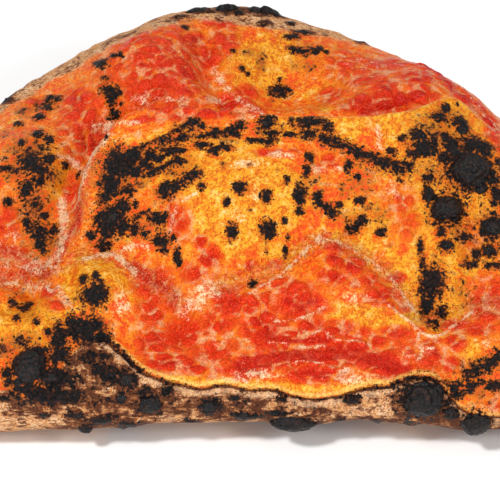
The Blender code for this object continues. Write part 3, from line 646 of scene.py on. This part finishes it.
# --------------------------------------------------------------------------------------------------
# Relief of the skin, pushed out along its normals: the dough's unevenness, swollen cells of tomato with
# creases between them, raised char, the lip over the seam, and the drawn fibres of the bare dough.
# --------------------------------------------------------------------------------------------------

cell_points = spots / MM / np.array((5.4, 4.2, 4.2)) + 0.35 * np.stack([wobble, ripple, wobble], axis=1)
cells = np.array([noise.voronoi(Vector(spot))[0][:2] for spot in cell_points])
cell = cells[:, 1] - cells[:, 0]
cell_dome = soft_step(cell / 0.55)
sauced = 1 - bare
wet = np.clip(red * 1.6, 0, 1) * sauced

relief = 0.9 * grain(16, seed=3) + 0.3 * grain(6, seed=4) + 0.12 * ripple + 0.08 * grain(1.6, seed=5)
relief += wet * (0.9 * (cell_dome - 0.5) + 0.2 * grain(2.2, seed=6))
relief += 0.9 * soft_step((char - 0.25) / 0.6) * (0.8 + 0.7 * grain(1.5, seed=7))
relief += 0.55 * pale * sauced
relief += 0.7 * np.exp(-((seam - 1.3) / 1.1) ** 2) * (back < 0.5)
relief -= 1.1 * np.exp(-((seam + 0.5) / 0.8) ** 2) * (back < 0.5)
relief += bare * (0.35 * grain(1.7, stretch=(5, 1, 1), seed=8) + 0.3 * grain(3.4, stretch=(3, 1, 1), seed=9))
relief += 0.16 * np.cos(crease * 2.6) * np.exp(-((crease / 4) ** 2))
relief *= soft_step(spots[:, 2] / (3 * MM))
skin_spots = spots + normals * relief[:, None] * MM
skin_spots[:, 2] = np.maximum(skin_spots[:, 2], 0)
for vert, spot in zip(shape.verts, skin_spots):
    vert.co = spot

skin_mesh = bpy.data.meshes.new("baked_skin")
shape.to_mesh(skin_mesh)
shape.free()
skin_mesh.shade_smooth()
fields = {"char": char, "brown": brown, "red": red, "pale": pale, "gold": gold}
fields |= {"bare": bare, "seam": seam, "crease": crease, "cell": cell}
for name, values in fields.items():
    layer = skin_mesh.attributes.new(name, "FLOAT", "POINT")
    layer.data.foreach_set("value", values.astype(np.float32))
skin = bpy.data.objects.new("baked_skin", skin_mesh)
bpy.context.collection.objects.link(skin)


# --------------------------------------------------------------------------------------------------
# What the skin is made of, in layers: golden glaze, tomato over it in cells, pale veins and streaks,
# browning, char on top, and bare floury dough where there is no sauce. Painted shade and highlights lie
# in it too: in pits, wrinkles, grains and hollows, and along the crest. Colours are linear.
# --------------------------------------------------------------------------------------------------

YELLOW = (0.92, 0.40, 0.018)
PALE_YELLOW = (0.94, 0.58, 0.14)
AMBER = (0.78, 0.20, 0.004)
FRECKLE = (0.48, 0.12, 0.006)
ORANGE = (0.92, 0.22, 0.005)
RED_ORANGE = (0.90, 0.095, 0.006)
RED = (0.80, 0.035, 0.004)
DEEP_RED = (0.60, 0.012, 0.003)
CREAM = (0.86, 0.46, 0.22)
PINK_CREAM = (0.84, 0.38, 0.20)
PALE_SKIN = (0.94, 0.66, 0.42)
TOASTED = (0.40, 0.095, 0.007)
DARK_CRUST = (0.070, 0.017, 0.007)
DOUGH = (0.70, 0.35, 0.14)
FLOUR = (0.90, 0.60, 0.36)
BAKED_DOUGH = (0.25, 0.082, 0.027)


def add(tree, kind, inputs=(), **settings):
    """One node with its settings, its inputs each given a value or linked to a socket."""
    made = tree.nodes.new(kind)
    for name, value in settings.items():
        setattr(made, name, value)
    for name, value in dict(inputs).items():
        if isinstance(value, bpy.types.NodeSocket):
            tree.links.new(value, made.inputs[name])
        elif isinstance(value, tuple) and len(value) == 3 and made.inputs[name].type == "RGBA":
            made.inputs[name].default_value = (*value, 1)
        else:
            made.inputs[name].default_value = value
    return made


def noise_of(tree, place, size, detail=3.0, roughness=0.5):
    """Noise whose lumps are about this size in millimetres."""
    values = {"Vector": place, "Scale": 1 / size, "Detail": detail, "Roughness": roughness}
    return add(tree, "ShaderNodeTexNoise", values).outputs[0]


def voronoi_of(tree, place, size, feature):
    """The distance output of Voronoi cells of about this size in millimetres."""
    values = {"Vector": place, "Scale": 1 / size}
    return add(tree, "ShaderNodeTexVoronoi", values, feature=feature).outputs["Distance"]


def math_of(tree, operation, a, b=0.0):
    return add(tree, "ShaderNodeMath", {0: a, 1: b}, operation=operation).outputs[0]


def times(tree, a, b):
    return math_of(tree, "MULTIPLY", a, b)


def between(tree, value, low, high, result_low=0.0, result_high=1.0):
    values = {"Value": value, "From Min": low, "From Max": high}
    values |= {"To Min": result_low, "To Max": result_high}
    return add(tree, "ShaderNodeMapRange", values, interpolation_type="SMOOTHSTEP").outputs[0]


def mixed(tree, amount, a, b):
    made = add(tree, "ShaderNodeMix", data_type="RGBA")
    for name, value in (("Factor_Float", amount), ("A_Color", a), ("B_Color", b)):
        socket = next(s for s in made.inputs if s.identifier == name)
        if isinstance(value, bpy.types.NodeSocket):
            tree.links.new(value, socket)
        else:
            socket.default_value = (*value, 1) if isinstance(value, tuple) else value
    return next(s for s in made.outputs if s.identifier == "Result_Color")


def shaded(tree, amount, a, tint):
    """The colour multiplied by a tint, by this amount."""
    made = add(tree, "ShaderNodeMix", data_type="RGBA", blend_type="MULTIPLY")
    for name, value in (("Factor_Float", amount), ("A_Color", a)):
        tree.links.new(value, next(s for s in made.inputs if s.identifier == name))
    next(s for s in made.inputs if s.identifier == "B_Color").default_value = (*tint, 1)
    return next(s for s in made.outputs if s.identifier == "Result_Color")


def millimetres(tree):
    """Object coordinates in millimetres."""
    place = add(tree, "ShaderNodeTexCoord").outputs["Object"]
    return add(tree, "ShaderNodeMapping", {"Vector": place, "Scale": (1000, 1000, 1000)}).outputs[0]


def new_group(name, inputs, outputs):
    group = bpy.data.node_groups.new(name, "ShaderNodeTree")
    for socket, kind in inputs:
        group.interface.new_socket(socket, in_out="INPUT", socket_type=kind)
    for socket, kind in outputs:
        group.interface.new_socket(socket, in_out="OUTPUT", socket_type=kind)
    return group, group.nodes.new("NodeGroupInput").outputs, group.nodes.new("NodeGroupOutput").inputs


# char: burnt crust, soot black with a brown cast in its pores, a fine blistered grain and pale painted
# glints
char_group, given, wanted = new_group(
    "burnt_crust",
    [("Place", "NodeSocketVector")],
    [("Color", "NodeSocketColor"), ("Roughness", "NodeSocketFloat"), ("Height", "NodeSocketFloat")],
)
pores = noise_of(char_group, given["Place"], 1.1, detail=5, roughness=0.7)
open_pores = between(char_group, pores, 0.50, 0.70)
soot = mixed(char_group, open_pores, (0.004, 0.0035, 0.004), (0.045, 0.014, 0.007))
# pale painted glints on the soot
glints = noise_of(char_group, given["Place"], 0.5, detail=1)
glints = between(char_group, glints, 0.70, 0.80, 0, 0.4)
soot = mixed(char_group, glints, soot, (0.10, 0.07, 0.06))
char_group.links.new(soot, wanted["Color"])
char_group.links.new(between(char_group, pores, 0.35, 0.65, 0.18, 0.38), wanted["Roughness"])
char_group.links.new(pores, wanted["Height"])

skin_material = bpy.data.materials.new("sauced_and_baked_skin")
skin_material.use_nodes = True
tree = skin_material.node_tree
surface = tree.nodes["Principled BSDF"]
place = millimetres(tree)
mask = {}
for name in fields:
    mask[name] = add(tree, "ShaderNodeAttribute", attribute_name=name).outputs["Fac"]
coarse = noise_of(tree, place, 6, detail=4)
medium = noise_of(tree, place, 2.4, detail=4, roughness=0.6)
fine = noise_of(tree, place, 0.9, detail=4, roughness=0.65)
grit = noise_of(tree, place, 0.4, detail=2)


def off(tree, value, strength):
    """Noise brought round zero: (value - 0.5) * strength."""
    return times(tree, math_of(tree, "SUBTRACT", value, 0.5), strength)


def total(tree, *values):
    made = values[0]
    for value in values[1:]:
        made = math_of(tree, "ADD", made, value)
    return made


# glaze: gold where the fat gathered, orange where the sauce is thin
tone = total(tree, 0.5, off(tree, medium, 2.0), off(tree, fine, 0.8), off(tree, coarse, 0.8))
golden_glaze = mixed(tree, between(tree, tone, 0.30, 0.56), AMBER, YELLOW)
golden_glaze = mixed(tree, between(tree, tone, 0.62, 0.90, 0, 0.85), golden_glaze, PALE_YELLOW)
freckled = between(tree, noise_of(tree, place, 1.3, detail=3, roughness=0.7), 0.58, 0.72, 0, 0.3)
golden_glaze = mixed(tree, freckled, golden_glaze, FRECKLE)
thin_sauce = mixed(tree, between(tree, tone, 0.28, 0.52), RED_ORANGE, ORANGE)
little_tomato = between(tree, mask["red"], 0.1, 0.5, 1, 0.2)
bared = times(tree, between(tree, tone, 0.58, 0.86, 0, 0.75), little_tomato)
thin_sauce = mixed(tree, bared, thin_sauce, CREAM)
golden = total(tree, times(tree, mask["gold"], 0.9), off(tree, coarse, 1.3), 0.1)
colour = mixed(tree, between(tree, golden, 0.16, 0.46), thin_sauce, golden_glaze)

# tomato: the reddest where the pulp is thick, and where painted shade deepens it in hollows; parted into
# swollen cells with paler skin between them
thickness = off(tree, noise_of(tree, place, 8, detail=2), 0.5)
cell_edge = total(tree, times(tree, mask["cell"], 0.62), off(tree, fine, 0.3), thickness)
pulp = between(tree, cell_edge, 0.0, 0.32)
redness = total(tree, mask["red"], off(tree, medium, 0.42), off(tree, fine, 0.35), off(tree, pulp, 0.14))
redness = total(tree, redness, 0.03)
colour = mixed(tree, between(tree, redness, 0.10, 0.26), colour, ORANGE)
colour = mixed(tree, between(tree, redness, 0.20, 0.38), colour, RED_ORANGE)
colour = mixed(tree, between(tree, redness, 0.38, 0.60), colour, RED)
colour = mixed(tree, between(tree, redness, 0.66, 0.95), colour, DEEP_RED)
# painted glints on the tomato's grains, and painted shade between them
pulp_glint_and_shade_grain = noise_of(tree, place, 0.42, detail=1)
reddened = between(tree, redness, 0.15, 0.4)
painted_pulp_glints = times(tree, between(tree, pulp_glint_and_shade_grain, 0.58, 0.70, 0, 0.5), reddened)
colour = mixed(tree, painted_pulp_glints, colour, (1.0, 0.20, 0.05))
painted_pulp_shade = times(tree, between(tree, pulp_glint_and_shade_grain, 0.42, 0.32, 0, 0.6), reddened)
colour = mixed(tree, painted_pulp_shade, colour, DEEP_RED)
vein = between(tree, cell_edge, 0.02, 0.14, 1, 0)
strands = between(tree, noise_of(tree, place, 5, detail=3), 0.36, 0.56)
in_pulp = between(tree, mask["red"], 0.10, 0.30)
strands = times(tree, strands, between(tree, mask["red"], 0.7, 1.0, 1, 0.12))
vein = times(tree, vein, times(tree, strands, in_pulp))
vein_colour = mixed(tree, between(tree, medium, 0.40, 0.54), ORANGE, CREAM)
colour = mixed(tree, times(tree, vein, 0.78), colour, vein_colour)

# pale streaks and patches, ragged at their edges: dough and fat, and painted highlights along the crest
paleness = total(tree, mask["pale"], off(tree, fine, 1.3), off(tree, grit, 0.9), off(tree, medium, 1.2))
pale_colour = mixed(tree, between(tree, medium, 0.36, 0.52), PINK_CREAM, PALE_SKIN)
colour = mixed(tree, between(tree, paleness, 0.36, 0.80, 0, 0.82), colour, pale_colour)

# wrinkles beside the creases: paler on their crests, and painted shade where they dip
waves = math_of(tree, "SINE", total(tree, times(tree, mask["crease"], 3.6), off(tree, medium, 34)))
wrinkled = between(tree, mask["crease"], 1.5, 6.0, 1, 0)
wrinkle = times(tree, waves, wrinkled)
colour = mixed(tree, between(tree, wrinkle, 0.2, 1.0, 0, 0.4), colour, PINK_CREAM)
wrinkle_valley_shade = between(tree, times(tree, wrinkle, -1.0), 0.4, 1.0, 0, 0.22)
colour = mixed(tree, wrinkle_valley_shade, colour, FRECKLE)

# bare dough: cream to beige, dusted with flour, browned along its fibres
fibre_place = add(tree, "ShaderNodeMapping", {"Vector": place, "Scale": (0.35, 1, 1)}).outputs[0]
fibres = noise_of(tree, fibre_place, 0.9, detail=5, roughness=0.7)
floured = between(tree, total(tree, medium, off(tree, grit, 0.8)), 0.42, 0.64)
dough = mixed(tree, floured, DOUGH, FLOUR)
baking = total(tree, off(tree, fibres, 2.0), off(tree, coarse, 1.4), off(tree, medium, 2.0))
baking = total(tree, baking, times(tree, mask["brown"], 0.72))
dough = mixed(tree, between(tree, baking, 0.02, 0.30, 0, 0.9), dough, BAKED_DOUGH)
dough = mixed(tree, between(tree, baking, 0.30, 0.50, 0, 0.95), dough, DARK_CRUST)
colour = mixed(tree, mask["bare"], colour, dough)

# the seam: a gold lip, a burnt line under it, and a painted highlight along the top edge of the dough below
seam_at = total(tree, mask["seam"], off(tree, medium, 1.6), off(tree, fine, 0.8))
lip = times(tree, between(tree, seam_at, 0.2, 1.0), between(tree, seam_at, 1.2, 2.6, 1, 0))
colour = mixed(tree, times(tree, lip, 0.8), colour, PALE_YELLOW)
seam_edge_highlight = times(tree, between(tree, seam_at, -3.0, -1.8), between(tree, seam_at, -1.3, -0.7, 1, 0))
colour = mixed(tree, times(tree, seam_edge_highlight, 0.55), colour, FLOUR)
scorch = times(tree, between(tree, seam_at, -1.0, -0.6), between(tree, seam_at, -0.3, 0.1, 1, 0))
colour = mixed(tree, times(tree, scorch, 0.9), colour, DARK_CRUST)

# the grain of the surface: painted shade in its pits and painted highlights on its tops
warp = total(tree, off(tree, fine, 2.6), off(tree, medium, 3.0))
warped = add(tree, "ShaderNodeVectorMath", {0: place, 1: warp}).outputs[0]
net = between(tree, voronoi_of(tree, warped, 1.3, "DISTANCE_TO_EDGE"), 0.0, 0.16, 1, 0)
grain_shade_and_highlight = total(tree, off(tree, fine, 1.3), off(tree, grit, 0.9), off(tree, net, -0.16), 0.46)
colour = shaded(tree, between(tree, grain_shade_and_highlight, 0.26, 0.56, 0.85, 0), colour, (0.66, 0.38, 0.22))
colour = shaded(tree, between(tree, grain_shade_and_highlight, 0.56, 0.80, 0, 1), colour, (1.12, 1.22, 1.2))

# browning and char, which eat into everything below
lumps = between(tree, voronoi_of(tree, place, 1.9, "F1"), 0.15, 0.75, 0.10, -0.12)
ragged = total(tree, off(tree, medium, 1.3), off(tree, fine, 2.0), lumps)
toasted = mixed(tree, mask["bare"], TOASTED, BAKED_DOUGH)
near_brown = between(tree, mask["brown"], 0.05, 0.4)
browned = total(tree, mask["brown"], times(tree, ragged, near_brown))
toasting = times(tree, between(tree, browned, 0.26, 0.56), between(tree, mask["bare"], 0, 1, 0.7, 0.25))
colour = mixed(tree, toasting, colour, toasted)
colour = mixed(tree, between(tree, browned, 0.56, 0.86, 0, 0.95), colour, DARK_CRUST)
near_char = between(tree, mask["char"], 0.02, 0.30)
dots = between(tree, voronoi_of(tree, place, 0.85, "F1"), 0.10, 0.55, 0.26, -0.20)
halo = total(tree, times(tree, ragged, 0.5), dots)
halo = total(tree, mask["char"], times(tree, halo, between(tree, mask["char"], 0.01, 0.16)))
colour = mixed(tree, between(tree, halo, 0.08, 0.30, 0, 0.8), colour, toasted)
colour = mixed(tree, between(tree, halo, 0.20, 0.40, 0, 0.95), colour, DARK_CRUST)
burning = total(tree, mask["char"], times(tree, ragged, near_char))
specks = total(tree, times(tree, mask["brown"], 0.42), times(tree, ragged, near_brown))
burning = math_of(tree, "MAXIMUM", burning, specks)
charred = between(tree, burning, 0.40, 0.52)
burnt = add(tree, "ShaderNodeGroup", {"Place": place}, node_tree=char_group)
colour = mixed(tree, charred, colour, burnt.outputs["Color"])
tree.links.new(colour, surface.inputs["Base Color"])

wet_roughness = between(tree, redness, 0.2, 0.6, 0.30, 0.15)
dry = math_of(tree, "MAXIMUM", mask["bare"], between(tree, halo, 0.2, 0.4))
roughness = add(tree, "ShaderNodeMix", {"Factor": dry, "A": wet_roughness, "B": 0.75}).outputs[0]
over_char = {"Factor": charred, "A": roughness, "B": burnt.outputs["Roughness"]}
roughness = add(tree, "ShaderNodeMix", over_char).outputs[0]
tree.links.new(roughness, surface.inputs["Roughness"])
surface.inputs["Metallic"].default_value = 0.0
surface.inputs["Specular IOR Level"].default_value = 0.18

seeds = between(tree, voronoi_of(tree, place, 0.75, "SMOOTH_F1"), 0.0, 0.7, 0.35, 0)
seeds = times(tree, between(tree, redness, 0.3, 0.6), seeds)
height = seeds
for layer, depth in (
    (fine, 0.65),
    (grit, 0.38),
    (times(tree, charred, lumps), 1.2),
    (times(tree, fibres, mask["bare"]), 0.8),
    (times(tree, pulp, in_pulp), 0.5),
    (wrinkle, 0.22),
    (times(tree, charred, burnt.outputs["Height"]), 0.9),
    (scorch, -0.5),
):
    height = total(tree, height, times(tree, layer, depth))
bump = add(tree, "ShaderNodeBump", {"Strength": 0.85, "Distance": 1 * MM, "Height": height})
tree.links.new(bump.outputs[0], surface.inputs["Normal"])
skin_mesh.materials.append(skin_material)
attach(skin, "root")
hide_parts("calzone")


# --------------------------------------------------------------------------------------------------
# Char blisters: thin bubbles of dough that rose over the skin and burnt through. Each is a small ball
# pressed into the skin, pitted and lopsided. The largest stand right of the crest and along the seam.
# --------------------------------------------------------------------------------------------------

# x, s, half width, half height, how far it stands out, how far its middle lies under the skin (mm)
BLISTERS = [
    (73, 28.5, 6.3, 6.2, 5.5, 1.5), (65.9, 15.6, 4.5, 4.6, 4.6, 0.6), (60, 21, 1.6, 2.4, 1.9, 0.4),
    (79.3, 2.7, 2.1, 1.8, 1.8, 0.5), (-66.8, -33.8, 5.3, 5.0, 4.4, 1.5),
    (58, -44.8, 6.2, 5.3, 4.6, 1.4), (75, -51.8, 4.4, 4.2, 3.6, 0.2), (67, -49, 2.2, 1.9, 1.6, 0.5),
    (-28.6, -45.9, 3.6, 2.9, 2.6, 0.8), (-49, -53.4, 2.2, 1.9, 2.0, -0.4),
    (-62, -49, 1.5, 1.2, 1.2, 0.2), (-51, -49.2, 1.3, 1.1, 1.1, 0.3),
    (-37.7, -43.7, 1.8, 1.5, 1.4, 0.4), (-40.8, -36.6, 1.5, 1.3, 1.2, 0.3),
    (-47.6, -31, 1.5, 1.2, 1.2, 0.3), (-60, -37.6, 3.2, 1.7, 1.6, 0.5),
    (-9.4, -46.7, 3.0, 2.0, 1.5, 0.6), (-40.6, 13.4, 2.9, 2.5, 1.8, 0.8),
    (-13.7, 79.5, 3.8, 2.2, 2.2, 0.4), (-4, 80.6, 4.2, 2.2, 2.2, 0.3), (5, 80, 2.4, 1.8, 1.8, 0.2),
    (9.8, 78.4, 3.8, 2.2, 2.0, 0.4), (8.8, 43.6, 2.1, 1.2, 1.2, 0.5), (66, 4.4, 1.8, 1.8, 1.4, 0.5),
    (17, -52.2, 6.6, 3.0, 3.2, 0.2), (-36, -38.4, 2.4, 2.0, 1.5, 0.5), (-51.5, -22, 2.0, 1.6, 1.2, 0.5),
    (70.6, 41, 2.0, 1.9, 1.5, 0.5), (-46.4, -11.6, 2.2, 1.8, 1.2, 0.5),
    (1.2, -49.6, 2.6, 1.4, 1.4, 0.3), (35.8, -44.4, 2.4, 1.2, 1.1, 0.4),
    (62.5, -41.5, 2.2, 2.0, 1.8, 0.5), (-55, -42.5, 2.4, 1.8, 1.4, 0.5), (-70, -39, 2.4, 1.8, 1.4, 0.5),
    (68, 34, 2.4, 2.0, 1.6, 0.6), (76.5, 22.5, 2.6, 2.0, 1.8, 0.6), (80.5, 10.5, 3.0, 3.0, 2.0, 0.8),
]

blisters = bmesh.new()
for x, s, across, upward, outward, sunk in BLISTERS:
    spot, out, _, _ = smooth_skin.find_nearest(on_skin(x, s))
    side = (Vector((1, 0, 0)) - out * out.x).normalized()
    turn = Matrix((side, out.cross(side), out)).transposed()
    made = bmesh.ops.create_icosphere(blisters, subdivisions=5 if across > 3 else 4, radius=1)
    offset = Vector((x, s, 0))
    for vert in made["verts"]:
        way = vert.co.copy()
        swell = 1 + 0.14 * noise.noise(way * 1.3 + offset) + 0.09 * noise.noise(way * 4 + offset)
        swell += 0.04 * noise.noise(way * 9 + offset)
        swollen = Vector((way.x * across, way.y * upward, way.z * outward)) * swell * MM
        vert.co = turn @ swollen + spot - out * (sunk * MM)
        vert.co.z = max(vert.co.z, 0.2 * MM)
blister_mesh = bpy.data.meshes.new("char_blisters")
blisters.to_mesh(blister_mesh)
blisters.free()
blister_mesh.shade_smooth()

blister_material = bpy.data.materials.new("burnt_blister")
blister_material.use_nodes = True
tree = blister_material.node_tree
surface = tree.nodes["Principled BSDF"]
place = millimetres(tree)
burnt = add(tree, "ShaderNodeGroup", {"Place": place}, node_tree=char_group)
tree.links.new(burnt.outputs["Color"], surface.inputs["Base Color"])
tree.links.new(burnt.outputs["Roughness"], surface.inputs["Roughness"])
surface.inputs["Specular IOR Level"].default_value = 0.26
cracks = between(tree, voronoi_of(tree, place, 1.5, "SMOOTH_F1"), 0.1, 0.8, 0.9, 0)
pits = math_of(tree, "ADD", burnt.outputs["Height"], cracks)
bump = add(tree, "ShaderNodeBump", {"Strength": 0.8, "Distance": 0.8 * MM, "Height": pits})
tree.links.new(bump.outputs[0], surface.inputs["Normal"])
blister_mesh.materials.append(blister_material)
blister_piece = bpy.data.objects.new("char_blisters", blister_mesh)
bpy.context.collection.objects.link(blister_piece)
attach(blister_piece, "root")
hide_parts("calzone")


# --------------------------------------------------------------------------------------------------
# The table: a plain pale sheet, with light from a lamp above the left shoulder and three soft fills.
# The camera looks down on the front of the loaf from close by, so it cuts off both tips.
# --------------------------------------------------------------------------------------------------

sheet = bmesh.new()
bmesh.ops.create_grid(sheet, x_segments=1, y_segments=1, size=3)
floor_mesh = bpy.data.meshes.new("table")
sheet.to_mesh(floor_mesh)
sheet.free()
floor = bpy.data.objects.new("table", floor_mesh)
bpy.context.collection.objects.link(floor)
floor_material = bpy.data.materials.new("white_table")
floor_material.use_nodes = True
surface = floor_material.node_tree.nodes["Principled BSDF"]
surface.inputs["Base Color"].default_value = (0.96, 0.96, 0.96, 1)
surface.inputs["Roughness"].default_value = 0.9
floor_mesh.materials.append(floor_material)

world = bpy.data.worlds.new("studio")
bpy.context.scene.world = world
world.use_nodes = True
world.node_tree.nodes["Background"].inputs["Color"].default_value = (1, 1, 1, 1)
world.node_tree.nodes["Background"].inputs["Strength"].default_value = 0.42


def soft_light(name, place, size, power):
    lamp = bpy.data.lights.new(name, "AREA")
    lamp.energy = power
    lamp.size = size
    holder = bpy.data.objects.new(name, lamp)
    holder.location = place
    holder.rotation_euler = (-Vector(place)).to_track_quat("-Z", "Y").to_euler()
    bpy.context.collection.objects.link(holder)


soft_light("window", (-0.55, -0.45, 1.1), 0.16, 11.2)
soft_light("low_fill", (-0.25, -1.2, 0.25), 0.5, 3.0)
soft_light("right_fill", (0.8, -0.5, 0.7), 0.3, 4)
soft_light("back_fill", (0.2, 0.9, 0.8), 0.4, 1.4)

camera_data = bpy.data.cameras.new("camera")
camera_data.sensor_width = 36
camera_data.lens = 204
camera = bpy.data.objects.new("camera", camera_data)
camera.location = (0.0032, -0.6452, 0.6274)
camera.rotation_euler = (math.radians(46), 0, 0)
bpy.context.collection.objects.link(camera)
bpy.context.scene.camera = camera
bpy.context.scene.view_settings.view_transform = "Standard"
